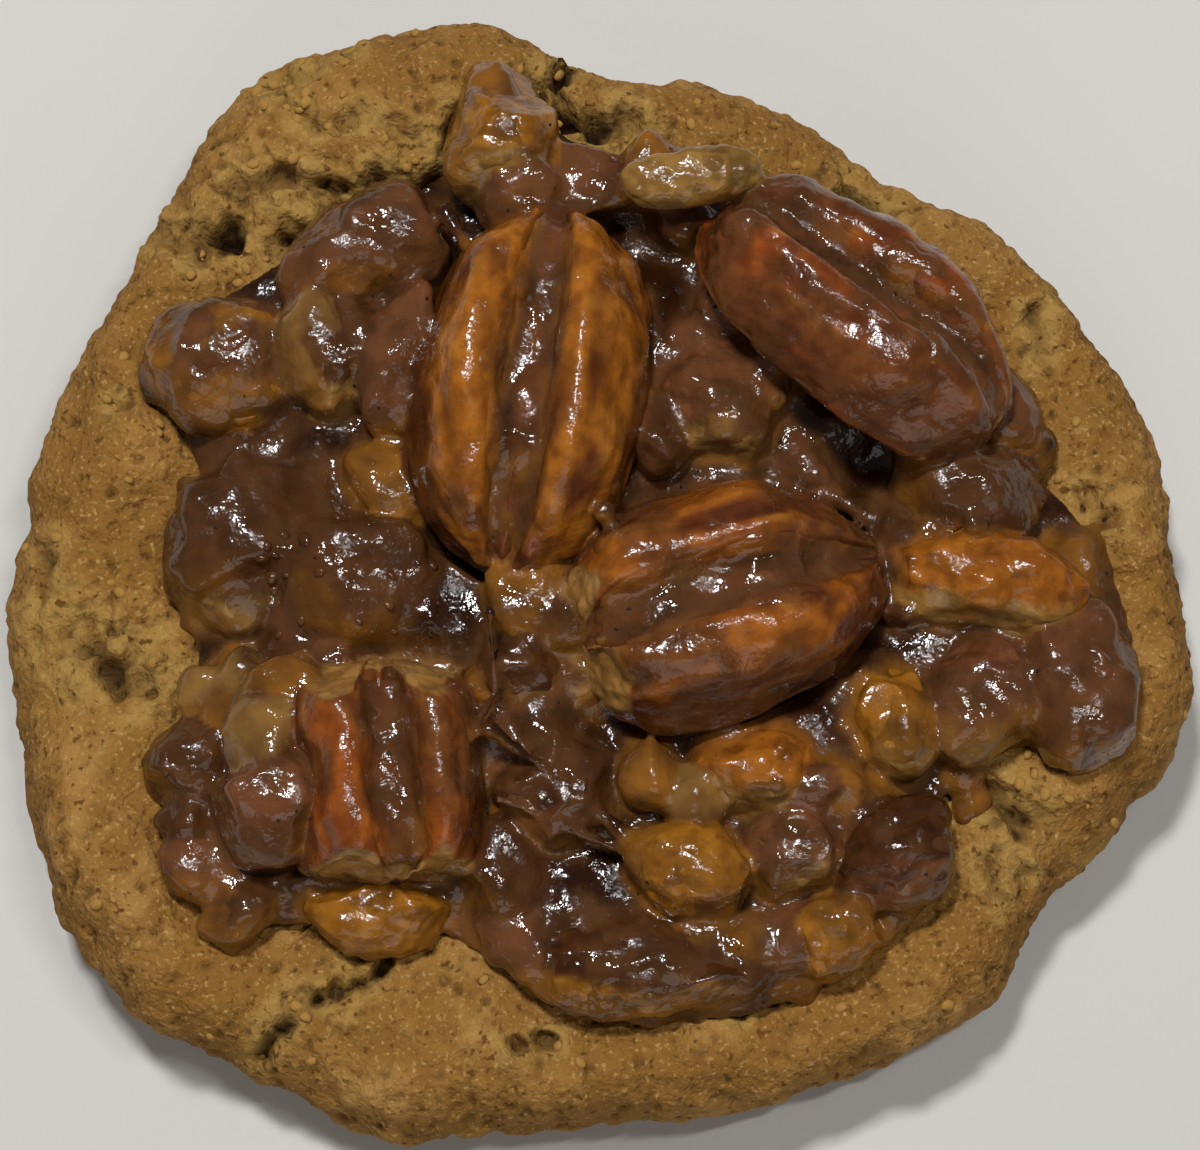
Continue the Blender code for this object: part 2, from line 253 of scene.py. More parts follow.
def distance_to_path(points, path):
    """Distance in plan from each point to a path of straight stretches."""
    best = np.full(len(points), 1e9)
    for start, end in zip(path[:-1], path[1:]):
        a = np.array(start)
        ab = np.array(end) - a
        t = np.clip((points[:, :2] - a) @ ab / (ab @ ab), 0, 1)
        best = np.minimum(best, np.linalg.norm(points[:, :2] - a - t[:, None] * ab, axis=1))
    return best


corners, normals = points_of(cookie)
free = smooth(0.15, 2.2, corners[:, 2])  # the base stays flat
facing_up = smooth(-0.2, 0.6, normals[:, 2])
swell = waves(corners, 6.5, 1) * 0.55 + waves(corners, 3.0, 2) * 0.38
crumb = waves(corners, 1.4, 3) * 0.26 + waves(corners, 0.75, 4) * 0.17
patchy = smooth(-0.5, 0.4, waves(corners, 7.0, 12))  # some parts are more open than others
cell, chance = grains(corners + waves(corners, 0.9, 13)[:, None] * 0.4, 1.9, 5)
pock = (1 - smooth(0.2, 0.75, cell)) * (chance > 0.78 - 0.3 * patchy)
cell, chance = grains(corners + waves(corners, 0.7, 14)[:, None] * 0.3, 1.0, 6)
fine_pock = (1 - smooth(0.1, 0.4, cell)) * (chance > 0.72 - 0.4 * patchy)
torn = np.zeros(len(corners))
sunk = np.zeros(len(corners))
ragged = waves(corners, 1.9, 7) * 0.9 + waves(corners, 0.9, 8) * 0.6
broken = 0.3 + 0.7 * smooth(-0.35, 0.3, waves(corners, 2.6, 9) + waves(corners, 1.2, 10) * 0.5)
for path, half_width, depth in TEARS:
    near = distance_to_path(corners, path) + ragged * half_width * 0.6
    sunk = np.maximum(sunk, depth * broken * (1 - smooth(-0.2, half_width, near)))
    torn = np.maximum(torn, 1 - smooth(half_width * 0.8, half_width * 2.4, near))
for x, y, radius, depth in PITS:
    near = np.hypot(corners[:, 0] - x, corners[:, 1] - y) + ragged * radius * 0.5
    sunk = np.maximum(sunk, depth * (1 - smooth(0, radius, near)))
    torn = np.maximum(torn, 1 - smooth(radius, radius * 2, near))
sunk *= facing_up
torn *= facing_up
push = swell + crumb * (1 + 0.8 * torn) - pock * 0.42 - fine_pock * 0.3
corners = corners + normals * (push * free)[:, None]
corners[:, 2] -= sunk * free
corners[:, 2] = np.maximum(corners[:, 2], 0)
move_points(cookie, corners)
mark(cookie, "torn", torn)
# Painted shade: the depth mark darkens the tears, pits and pores, more where they sink deeper.
mark(cookie, "depth", np.clip(np.clip(sunk / 2.6, 0, 1) + 0.55 * pock + 0.42 * fine_pock, 0, 1))
# Painted shade: this mark is low in the hollows between the swellings, which the dough material darkens.
mark(cookie, "lit_crown", smooth(-0.25, 0.75, swell + crumb))


def material(name):
    made = bpy.data.materials.new(name)
    made.use_nodes = True
    made.node_tree.nodes.clear()
    return made


def node(look, kind, settings=None, **links):
    """Adds a node: its settings by attribute, and its sockets by name from values or other outputs."""
    made = look.node_tree.nodes.new(kind)
    for setting, value in (settings or {}).items():
        setattr(made, setting, value)
    for key, value in links.items():
        socket = made.inputs[key.replace("_", " ")]
        if isinstance(value, bpy.types.NodeSocket):
            look.node_tree.links.new(value, socket)
        elif hasattr(value, "__len__") and len(value) == 3 and socket.type == "RGBA":
            socket.default_value = (*value, 1)
        else:
            socket.default_value = value
    return made


def mixed(look, factor, a, b, blend="MIX"):
    """A colour between a and b."""
    mix = node(look, "ShaderNodeMix", {"data_type": "RGBA", "blend_type": blend})
    for index, value in ((0, factor), (6, a), (7, b)):
        socket = mix.inputs[index]
        if isinstance(value, bpy.types.NodeSocket):
            look.node_tree.links.new(value, socket)
        else:
            socket.default_value = value if index == 0 else (*value, 1)
    return mix.outputs[2]


def ramp(look, factor, low, high):
    """A number carried from low..high to 0..1."""
    made = node(look, "ShaderNodeMapRange", {"interpolation_type": "SMOOTHSTEP"}, Value=factor)
    made.inputs["From Min"].default_value = low
    made.inputs["From Max"].default_value = high
    return made.outputs[0]


def speckle(look, size_mm, detail=3.0):
    """Noise over the object whose blotches are about this many millimetres."""
    place = node(look, "ShaderNodeTexCoord").outputs["Object"]
    return node(look, "ShaderNodeTexNoise", Vector=place, Scale=1000 / size_mm, Detail=detail).outputs["Fac"]


def attribute(look, name):
    return node(look, "ShaderNodeAttribute", {"attribute_name": name}).outputs["Fac"]


def surfaced(look, colour, roughness, bump=None, bump_mm=0.05, strength=0.5, **sockets):
    """Ends a material in one Principled surface."""
    shader = node(look, "ShaderNodeBsdfPrincipled", Base_Color=colour, Roughness=roughness)
    for name, value in sockets.items():
        shader.inputs[name.replace("_", " ")].default_value = value
    if bump is not None:
        relief = node(look, "ShaderNodeBump", Height=bump, Distance=bump_mm * MM, Strength=strength)
        look.node_tree.links.new(relief.outputs["Normal"], shader.inputs["Normal"])
    end = node(look, "ShaderNodeOutputMaterial")
    look.node_tree.links.new(shader.outputs[0], end.inputs[0])
    return look


# Baked dough: dull golden brown, with painted shade in the hollows between the swellings, paler and yellower
# where torn, and painted shade in the pits, tears and pores.
baked = material("baked_dough")
tone = mixed(baked, ramp(baked, speckle(baked, 9), 0.36, 0.64), linear("A4763A"), linear("B68A4B"))
# Painted shade: the hollows between the swellings are darkened to 94692F; the tops keep the lighter tone.
tone = mixed(baked, attribute(baked, "lit_crown"), linear("94692F"), tone)
tone = mixed(baked, attribute(baked, "torn"), tone, linear("B08A48"))
tone = mixed(baked, ramp(baked, speckle(baked, 2.6, 6), 0.44, 0.76), tone, linear("8E632E"))
tone = mixed(baked, ramp(baked, speckle(baked, 0.42, 3), 0.54, 0.74), tone, linear("BE975A"))
tone = mixed(baked, ramp(baked, speckle(baked, 0.8, 2), 0.6, 0.72), tone, linear("6E4A20"))
# Painted shade in the tears, pits and pores: nearly black-brown where they are deepest.
tone = mixed(baked, attribute(baked, "depth"), tone, linear("2E1B0A"))
surfaced(baked, tone, 0.85, speckle(baked, 0.7, 5), 0.5, 1.0, Specular_IOR_Level=0.12)
cookie.data.materials.append(baked)
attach(cookie, "root")
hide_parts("cookie")

# ----------------------------------------------------------------------------------------------------------
# The pecan halves: shelled kernels, each with two long rounded lobes, a lower crinkled ridge between two
# grooves and a thin brown skin. Candied in the filling, they keep caramel in the grooves and a wet film.
# ----------------------------------------------------------------------------------------------------------
ALONG, ROUND = 120, 150


def unit_ball(along, around):
    """Directions over a ball with its poles on X, one ring of corners after another, and its faces."""
    tilt = np.linspace(0.004, math.pi - 0.004, along)
    turn = np.linspace(0, 2 * math.pi, around, endpoint=False)
    tilt, turn = np.meshgrid(tilt, turn, indexing="ij")
    ball = np.stack([np.cos(tilt), np.sin(tilt) * np.cos(turn), np.sin(tilt) * np.sin(turn)], axis=-1)
    rings = np.arange(along * around).reshape(along, around)
    beside = np.roll(rings, -1, axis=1)
    quads = np.stack([rings[:-1], rings[1:], beside[1:], beside[:-1]], axis=-1).reshape(-1, 4).tolist()
    return ball.reshape(-1, 3), quads + [rings[0].tolist(), rings[-1, ::-1].tolist()]


def standing(corners, turns):
    """Corners rolled about X, tilted about Y and turned about Z, as the CAD piece is."""
    turn, tilt, roll = (math.radians(a) for a in turns)
    return corners @ np.array(Euler((roll, tilt, turn)).to_matrix()).T


def onto(corners, cad_node):
    """Moves corners so that their box is centred on the CAD piece's box."""
    low, high = (np.array(c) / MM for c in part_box(cad_node))
    return corners + (low + high) / 2 - (corners.min(axis=0) + corners.max(axis=0)) / 2


def stretched(corners, *sizes):
    return corners / np.array(sizes)


def half_kernel(size, ends, seed):
    """Half a kernel lying on its flat side: its corners, the same with full grooves, faces, and its looks."""
    length, width, height = size
    ball, quads = unit_ball(ALONG, ROUND)
    along, across, up = ball.T
    ring = np.sqrt(np.maximum(1e-9, 1 - along**2))
    v = across / ring
    plan = np.maximum(1e-6, 1 - np.abs(along) ** 2.7) ** 0.56
    x = along * length / 2
    wander = waves(stretched(ball, 0.6, 9, 9), 1, seed) * 0.11
    middle = v + wander
    inner = smooth(1.0, 0.93, along) * smooth(-1.0, -0.86, along)
    lobe = np.maximum(0, 1 - np.abs((np.abs(middle) - 0.6) / 0.42) ** 2.2) ** 0.5
    arch = np.maximum(0, 1 - np.abs(v) ** 2.6) ** 0.58 * (0.66 + 0.34 * lobe)
    groove = smooth(0.3, 0.2, np.abs(middle))
    ridge = np.exp(-((middle / 0.3) ** 2))
    thin = np.exp(-((middle / 0.06) ** 2))
    cut_in = (0.13 * groove + 0.08 * ridge - 0.13 * thin) * inner
    level = height * plan * arch
    bottom = height * 0.16 * plan * up / ring
    y = v * plan * width / 2
    full = np.stack([x, y, np.where(up > 0, level, bottom) - along**2], axis=1)
    corners = np.stack([x, y, np.where(up > 0, level - height * plan * cut_in, bottom) - along**2], axis=1)
    crinkle = waves(stretched(corners, 6.0, 1.5, 1.5), 1, seed + 1) * 0.16
    crinkle += waves(stretched(corners, 2.4, 0.8, 0.8), 1, seed + 2) * 0.1
    lumpy = waves(corners, 5.2, seed + 3) * 0.8 + waves(corners, 2.2, seed + 4) * 0.2
    tips = smooth(0.72, 0.98, np.abs(along))
    normal = ball / np.linalg.norm(ball, axis=1)[:, None]
    rough = crinkle * (1 + tips) + lumpy
    corners += normal * (rough * np.where(up > 0, 1, 0.5))[:, None]
    full += normal * lumpy[:, None]
    flesh = np.zeros(len(corners))
    for degrees, reach, lean in ends:
        turn, slope = math.radians(degrees), math.radians(lean)
        face = np.array([math.cos(turn) * math.cos(slope), math.sin(turn) * math.cos(slope), math.sin(slope)])
        point = np.array([math.cos(turn), math.sin(turn), 0]) * reach
        snapped = waves(corners, 2.4, seed + 5) * 0.5 + waves(corners, 0.9, seed + 6) * 0.22
        aside = np.linalg.norm((corners - point) - ((corners - point) @ face)[:, None] * face, axis=1)
        past = (corners - point) @ face + snapped + 0.022 * aside**2
        corners -= face * np.maximum(past, 0)[:, None] * 0.96
        full -= face * np.maximum((full - point) @ face + 0.4 + 0.022 * aside**2, 0)[:, None] * 0.96
        flesh = np.maximum(flesh, smooth(-0.1, 0.5, past))
    valley = np.clip(groove - 0.75 * thin, 0, 1) * inner * (up > 0)
    return corners, full, quads, valley, flesh, crinkle / 0.24, v, along


# For each half: (length, width, height), (turn, tilt, roll), broken ends, how much of it the film covers, the
# side its painted shade falls on, and the colour of its skin.
HALVES = {
    "pecan_half_upper_left": ((31.4, 19.2, 9.4), (82, -2, -3), (), 0.4, 1, "A4641E"),
    "pecan_half_centre": ((28, 19, 9.2), (16, 3, -4), ((188, 11.2, 12),), 0.62, -1, "A05C1C"),
    "pecan_half_right": ((30, 17, 8.6), (-39, 3, -32), (), 0.74, 1, "944C1C"),
    "pecan_half_lower_left": (
        (27, 16.4, 9.0), (92, -3, 8), ((0, 8.6, 10), (180, 9.0, 6)), 0.66, -1, "A0561E",
    ),
}
# How far a half stands off the middle of its CAD box, where its two broken ends differ.
NUDGES = {"pecan_half_lower_left": (1.8, 0, 0.2)}
PECAN_SKIN = linear("A0601C")
PECAN_GOLD = linear("B87C30")
PECAN_RED = linear("6C3A1C")
# PECAN_DARK is painted shade on each half's shaded side and flanks, and also the colour of its dark streaks.
PECAN_DARK = linear("42190A")
PECAN_FLESH = linear("A88045")
FILM = linear("5C3A20")

nuts = []  # (corners, triangles, colour at each corner, corners of the caramel over it) of every pecan


def triangles_in(faces):
    return [(f[0], f[k], f[k + 1]) for f in faces for k in range(1, len(f) - 1)]


def under_film(corners, normals, cover, seed):
    """Where the caramel over a pecan lies: in places just above its surface, elsewhere sunk below it."""
    uneven = waves(corners, 4.0, seed) * 0.4 + waves(corners, 1.7, seed + 1) * 0.2
    return corners - normals * (0.85 - 1.15 * cover + uneven)[:, None] - [0, 0, 0.25]


def normals_of(corners, faces):
    """Outward normals of a mesh given as corners and faces."""
    sketch = new_object("sketch", corners, faces)
    normals = points_of(sketch)[1]
    bpy.data.objects.remove(sketch)
    return normals


def tinted(a, b, share):
    """Colours this far from a to b, at each corner."""
    return a + (b - a) * np.asarray(share)[:, None]


def paint(obj, colours):
    """Stores one colour for each corner, for the material to read."""
    layer = obj.data.attributes.new("tint", "FLOAT_COLOR", "POINT")
    full = np.concatenate([colours, np.ones((len(colours), 1))], axis=1)
    layer.data.foreach_set("color", full.reshape(-1).astype(np.float32))


def uneven_gloss(look, noise, seen, roughness):
    """A roughness that goes from its low to its high value as the noise goes between the two values seen."""
    made = node(look, "ShaderNodeMapRange", Value=noise)
    for socket, value in zip(("From Min", "From Max", "To Min", "To Max"), (*seen, *roughness)):
        made.inputs[socket].default_value = value
    return made.outputs[0]


def candied(name):
    """A candied pecan's finish: skin colours, and painted shade where given, under thin clear syrup, unevenly
    glossy.
    """
    look = material(name)
    place_colour = node(look, "ShaderNodeAttribute", {"attribute_name": "tint"}).outputs["Color"]
    mottle = ramp(look, speckle(look, 1.6, 5), 0.36, 0.66)
    mottled = mixed(look, mottle, (0.74, 0.66, 0.58), (1.14, 1.1, 1.0))
    colour = mixed(look, 1.0, place_colour, mottled, "MULTIPLY")
    gloss = uneven_gloss(look, speckle(look, 2.2, 2), (0, 1), (0.06, 0.34))
    surfaced(
        look, colour, gloss, speckle(look, 0.8, 2), 0.13, 1.0,
        Specular_IOR_Level=0.45, Subsurface_Weight=0.12, Subsurface_Scale=0.002,
    )
    return look


candied_pecan = candied("candied_pecan")
for seed, (name, (size, turns, ends, cover, side, skin)) in enumerate(HALVES.items()):
    corners, full, quads, valley, flesh, crinkle, v, along = half_kernel(size, ends, 40 + seed * 10)
    # Painted shade darkens the shaded side and the steep flanks toward PECAN_DARK; the same mask adds dark
    # wrinkle streaks and darker ends.
    shaded = smooth(0.6, 0.92, v * side + 0.3 * waves(corners, 5.0, seed + 93))
    painted_flank_shade = smooth(0.8, 1.0, np.abs(v)) * 0.6 + shaded * (1 - 0.75 * smooth(-0.2, 0.5, along))
    grain = waves(stretched(corners, 3.0, 0.9, 0.9), 1, seed + 94)
    streaks = np.maximum(0, -crinkle) * 0.9 + smooth(0.2, 0.6, grain) * 0.35
    dark = np.clip(painted_flank_shade + streaks + smooth(0.8, 1, np.abs(along)) * 0.3, 0, 1) * 0.85
    flush = waves(stretched(corners, 6.0, 2.6, 2.6), 1, seed + 92)
    red = smooth(-0.1, 0.5, flush - 0.25 + smooth(0.2, 0.05, np.abs(v)))
    colours = tinted(linear(skin), PECAN_RED, red)
    colours = tinted(colours, PECAN_GOLD, smooth(0.1, 0.8, crinkle) * 0.5)
    colours = tinted(colours, PECAN_DARK, dark)
    colours = tinted(colours, PECAN_FLESH, flesh * 0.9)
    patchy = waves(corners, 5.5, seed + 90) * 0.6 + waves(corners, 1.8, seed + 91) * 0.3
    wet = smooth(0.3, 0.9, valley) + smooth(0.1, 0.5, patchy + cover * 2 - 1)
    film = np.clip(wet, 0, 1) * (1 - flesh * 0.6)
    colours = tinted(colours, FILM, film * 0.72)
    stood = standing(corners, turns)
    corners = onto(stood, name) + np.array(NUDGES.get(name, (0, 0, 0)))
    full = standing(full, turns) + (corners - stood)[0]
    half = new_object(name + "_candied", corners, quads)
    paint(half, colours)
    half.data.materials.append(candied_pecan)
    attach(half, "root")
    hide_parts(name)
    faces = np.array(triangles_in(quads))
    nuts.append((corners, faces, colours, under_film(full, normals_of(full, quads), cover, seed + 70)))

# ----------------------------------------------------------------------------------------------------------
# The chopped pecans: broken and knife-cut bits of kernel stirred into the filling. Cut faces are pale, skins
# are brown, and most are coated so thickly that only their lumps show.
# ----------------------------------------------------------------------------------------------------------
AMBER = linear("98641C")
PALE = linear("96723A")
ROSY = linear("70452A")
BROWN = linear("4A2A12")


def chopped(corners, cuts, reach, chance):
    """Corners pared to flat faces, as a knife leaves them, at this share of the width from the middle."""
    middle = (corners.min(axis=0) + corners.max(axis=0)) / 2
    spread = (corners.max(axis=0) - corners.min(axis=0)).copy()
    for _ in range(cuts):
        face = chance.normal(size=3)
        face[2] = abs(face[2])
        face /= np.linalg.norm(face)
        past = (corners - middle) @ face - np.linalg.norm(face * spread) * reach
        corners = corners - face * np.maximum(past, 0)[:, None] * 0.92
    return corners


# For each piece: skin colour, colour of its cut face, and how much of it the film covers.
PIECES = {
    "pecan_piece_finger": (AMBER, PALE, 0.45),
    "pecan_piece_sliver": (PALE, PALE, 0.15),
    "pecan_piece_upper_centre": (ROSY, PALE, 0.45),
    "pecan_piece_hump": (ROSY, ROSY, 0.7),
    "pecan_piece_block_left": (ROSY, AMBER, 0.5),
    "pecan_piece_crumb_left": (BROWN, PALE, 0.4),
    "pecan_piece_left": (BROWN, PALE, 0.6),
    "pecan_piece_nub_left": (BROWN, ROSY, 0.6),
    "pecan_piece_cut_lower_left": (AMBER, AMBER, 0.1),
    "pecan_piece_knob_centre": (BROWN, ROSY, 0.6),
    "pecan_piece_below_centre": (BROWN, ROSY, 0.6),
    "pecan_piece_small_centre": (PECAN_SKIN, PALE, 0.36),
    "pecan_piece_rounded_end": (AMBER, AMBER, 0.44),
    "pecan_piece_broad_bottom": (BROWN, AMBER, 0.5),
    "pecan_piece_lump_lower": (ROSY, PALE, 0.5),
    "pecan_piece_wrinkled": (BROWN, ROSY, 0.4),
    "pecan_piece_amber_lower": (AMBER, AMBER, 0.3),
    "pecan_piece_amber_right": (AMBER, PALE, 0.3),
    "pecan_piece_film_right": (ROSY, ROSY, 0.7),
    "pecan_piece_long_right": (PECAN_SKIN, PALE, 0.15),
    "pecan_piece_lump_right": (ROSY, PALE, 0.6),
    "pecan_piece_block_right": (ROSY, ROSY, 0.7),
}
for seed, (name, (skin, cut, cover)) in enumerate(PIECES.items()):
    piece = new_object(name + "_candied", *merged(name))
    settled(piece, [("SUBSURF", {"levels": 3})])
    corners, normals = points_of(piece)
    lumpy = waves(corners, 3.2, seed + 120) * 0.5 + waves(corners, 1.4, seed + 140) * 0.26
    crinkle = waves(corners, 0.9, seed + 160) * 0.16
    slender = name.endswith("sliver")
    corners = corners + normals * (0.15 + 0.5 * lumpy if slender else 0.6 + lumpy)[:, None]
    cuts = 0 if slender else 5
    corners = chopped(corners, cuts, 0.4, np.random.default_rng(500 + seed)) + normals * crinkle[:, None]
    move_points(piece, corners)
    near_side = -normals[:, 1] * 0.8 + normals[:, 2] * 0.2
    cut_face = smooth(0.25, 0.75, near_side + waves(corners, 2.2, seed) * 0.3)
    colours = tinted(skin, cut, cut_face)
    veins = smooth(0.1, 0.5, waves(stretched(corners, 1.8, 0.8, 0.8), 1, seed + 200))
    colours = colours * (1 - 0.35 * veins)[:, None]
    patchy = waves(corners, 3.4, seed + 220) * 0.6 + waves(corners, 1.2, seed + 240) * 0.3
    film = smooth(0.1, 0.5, patchy + cover * 2 - 1)
    colours = tinted(colours, FILM, film * 0.8)
    paint(piece, colours)
    piece.data.materials.append(candied_pecan)
    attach(piece, "root")
    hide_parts(name)
    over = under_film(corners, normals, 0.48 + cover, seed + 260)
    nuts.append((corners, triangles_of(piece), colours, over))

# ----------------------------------------------------------------------------------------------------------
# The filling: brown-sugar caramel boiled thick, spooned on warm with the chopped pecans in it. It wets every
# nut, climbs up their sides, hangs between them in films and strings, and sets to a dark, wet gloss.
# ----------------------------------------------------------------------------------------------------------
VOXEL = 0.34  # mm, the grid on which the filling becomes one body
BITS = 62  # small bits of nut that lie about in it
MOST_TRIANGLES = 186000
SUNK = 2.6  # how far the caramel between the nuts lies below the top of the heap

rng = np.random.default_rng(7)


def joined(shapes):
    """One set of corners and faces from several."""
    corners, faces, first = [], [], 0
    for more, triangles in shapes:
        corners.append(more)
        faces.append(np.asarray(triangles) + first)
        first += len(more)
    return np.concatenate(corners), np.concatenate(faces)


def chopped_bit(centre, size, seed):
    """A lumpy bit of nut with knife-cut sides."""
    ball, quads = unit_ball(18, 24)
    square = (np.abs(ball) ** 3).sum(axis=1)[:, None] ** (-1 / 3)
    stretch = np.array([1, rng.uniform(0.55, 0.85), rng.uniform(0.5, 0.7)]) * size / 2
    corners = ball * square * stretch * (1 + 0.25 * waves(ball, 0.9, seed))[:, None]
    corners = chopped(corners, 4, 0.36, rng)
    turns = rng.uniform(-180, 180), rng.uniform(-40, 40), rng.uniform(-40, 40)
    return standing(corners, turns) + centre, np.array(triangles_in(quads))


def strand(path, radius, sag=0.0):
    """A string of caramel along a path, thinner and lower in its middle."""
    path = np.array(path, float)
    share = np.linspace(0, 1, 40)
    stops = np.linspace(0, 1, len(path))
    line = np.stack([np.interp(share, stops, path[:, k]) for k in range(3)], axis=1)
    line[:, 2] -= sag * np.sin(math.pi * share)
    thickness = radius * (1 + 0.9 * np.abs(2 * share - 1) ** 3)
    ball, quads = unit_ball(8, 10)
    faces = np.array(triangles_in(quads))
    return joined([(ball * r + p, faces) for p, r in zip(line, thickness)])


def blob(centre, size, seed, turn=0):
    """A soft lump of caramel, lying as the syrup slumped."""
    ball, quads = unit_ball(24, 30)
    corners = ball * (1 + 0.16 * waves(ball, 0.8, seed))[:, None] * np.array(size) / 2
    return standing(corners, (turn, 0, 0)) + centre, np.array(triangles_in(quads))


def lump(centre, size, turns, seed):
    """A broken piece of kernel of this size."""
    ball, quads = unit_ball(40, 50)
    square = (np.abs(ball) ** 2.8).sum(axis=1)[:, None] ** (-1 / 2.8)
    corners = ball * square * np.array(size) / 2 * (1 + 0.12 * waves(ball, 0.7, seed))[:, None]
    corners = chopped(corners, 5, 0.38, rng)
    return standing(corners, (*turns, 0)) + centre, np.array(triangles_in(quads))


base = new_object("base", *merged("caramel_filling"))
settled(base, [("SUBSURF", {"levels": 2})])
base_corners, base_faces = points_of(base)[0], triangles_of(base)
bpy.data.objects.remove(base)
top = smooth(13.5, 17.5, base_corners[:, 2])
base_corners[:, 2] -= SUNK * top * (0.65 + 0.5 * waves(base_corners, 5.0, 400))

half_tree = tree_of(*joined([(c, f) for c, f, _, _ in nuts[: len(HALVES)]]))
bits = []
while len(bits) < BITS:
    angle, share = rng.uniform(0, 2 * math.pi), math.sqrt(rng.uniform(0, 1))
    out = np.array([math.cos(angle), math.sin(angle), 0])
    edge = np.linalg.norm(ray(filling_tree, out * OUTSIDE + [0, 0, 14.6], -out, out * 38)[:2])
    size = rng.choice((3.0, 5.0, 7.5, 10.0), p=(0.24, 0.3, 0.28, 0.18))
    place = out * min(edge * share, edge - size * 0.42)
    if half_tree.ray_cast(Vector(place + [0, 0, 50]), Vector((0, 0, -1)))[0]:
        continue
    height = ray(filling_tree, place + [0, 0, 50], (0, 0, -1), place + [0, 0, 17])[2]
    low = rng.uniform(-0.42, -0.14) * size
    corners, faces = chopped_bit(place + [0, 0, height + low], size, 300 + len(bits))
    tone = (AMBER, AMBER, ROSY, ROSY, BROWN, BROWN, BROWN)[rng.integers(7)]
    bits.append((corners, faces, np.tile(tone, (len(corners), 1)), corners))

# The larger coated lumps: centre, (length, width, height), turn, tilt, and colour.
LUMPS = (
    ((-19.6, 25.6, 18.2), (14.0, 7.4, 6.6), 32, 0, ROSY),
    ((-31.4, 16.6, 16.8), (11.0, 9.6, 6.4), 20, 0, AMBER),
    ((-23.0, 16.8, 18.4), (6.4, 10.0, 5.6), 10, 0, PALE),
    ((-16.4, 15.6, 19.2), (5.2, 13.0, 5.6), -6, 0, ROSY),
    ((-28.4, 1.6, 17.2), (13.4, 13.0, 7.0), 10, 3, BROWN),
    ((-19.6, -3.0, 18.0), (11.0, 12.0, 7.0), 0, 0, BROWN),
    ((-26.2, -21.2, 19.8), (9.0, 8.6, 9.0), 0, 0, ROSY),
    ((-27.0, -15.4, 20.4), (7.0, 5.4, 6.8), 70, 0, PALE),
    ((-24.8, -11.6, 20.2), (6.4, 4.4, 5.0), 20, 0, AMBER),
    ((36.0, -6.6, 15.6), (7.0, 5.6, 5.0), 0, 0, AMBER),
    ((-8.4, 36.2, 17.2), (9.6, 7.8, 7.0), 80, 0, AMBER),
    ((-6.2, 29.0, 20.0), (7.0, 6.0, 5.0), 60, 0, ROSY),
    ((33.4, 12.4, 16.6), (8.0, 5.4, 5.4), -50, 0, ROSY),
    ((30.0, -17.4, 13.8), (4.6, 3.4, 2.8), 70, 0, AMBER),
    ((30.6, -20.0, 13.0), (3.4, 2.6, 2.2), 80, 0, AMBER),
    ((-32.4, -11.2, 16.8), (3.6, 3.4, 3.0), 0, 0, PALE),
    ((-28.8, -10.4, 18.0), (3.8, 3.4, 3.2), 40, 0, PALE),
    ((-30.0, -13.2, 17.4), (3.4, 3.0, 2.8), 80, 0, AMBER),
    ((-32.4, -25.6, 15.6), (5.4, 5.0, 4.0), 30, 0, ROSY),
    ((-29.4, -30.0, 15.0), (5.2, 4.2, 3.8), 40, 0, AMBER),
    ((29.6, 5.2, 18.2), (12.0, 8.0, 6.2), -14, 0, BROWN),
    ((38.8, -9.4, 16.8), (6.6, 13.0, 6.0), 4, 0, ROSY),
    ((7.4, -20.2, 18.6), (5.4, 4.4, 4.4), 0, 0, PALE),
    ((4.0, -18.4, 18.8), (4.4, 5.0, 4.4), 0, 0, AMBER),
    ((17.0, -19.8, 18.2), (6.0, 4.6, 4.6), 30, 0, ROSY),
    ((-6.0, -31.0, 15.6), (6.0, 8.0, 4.6), 60, 0, ROSY),
    ((8.0, -32.6, 15.4), (9.0, 5.0, 4.6), 10, 0, AMBER),
    ((12.4, 21.4, 17.8), (8.0, 6.0, 6.0), 50, 0, ROSY),
    ((4.6, 30.6, 19.6), (9.0, 4.0, 4.0), 8, 0, ROSY),
    ((-1.0, 31.0, 18.4), (8.6, 5.4, 4.6), 12, 0, ROSY),
    ((4.2, 32.8, 20.6), (3.6, 3.2, 3.0), 0, 0, AMBER),
)

# Strings and films between the nuts: (path, radius, sag).
STRANDS = (
    (((-8.6, -6.2, 24.0), (-8.2, -12.0, 21.0), (-10.2, -15.8, 22.4)), 0.34, 0.4),
    (((-8.6, -15.4, 22.6), (-3.0, -19.0, 20.6), (2.4, -23.4, 18.2)), 0.36, 0.5),
    (((-7.8, -20.6, 20.6), (-2.0, -23.0, 19.4), (3.4, -25.0, 17.6)), 0.34, 0.3),
    (((26.6, 8.6, 22.6), (29.4, 5.6, 20.4), (30.6, 1.6, 20.8)), 0.50, 0.3),
    (((0.6, 2.0, 24.6), (1.8, -1.0, 22.4), (3.2, -3.4, 23.8)), 0.50, 0.2),
    (((-12.4, 27.6, 20.6), (-10.8, 24.6, 21.6), (-9.4, 22.6, 23.4)), 0.50, 0.1),
    (((3.6, 29.4, 20.6), (-0.6, 28.4, 20.4), (-4.4, 26.6, 21.2)), 0.70, 0.2),
)
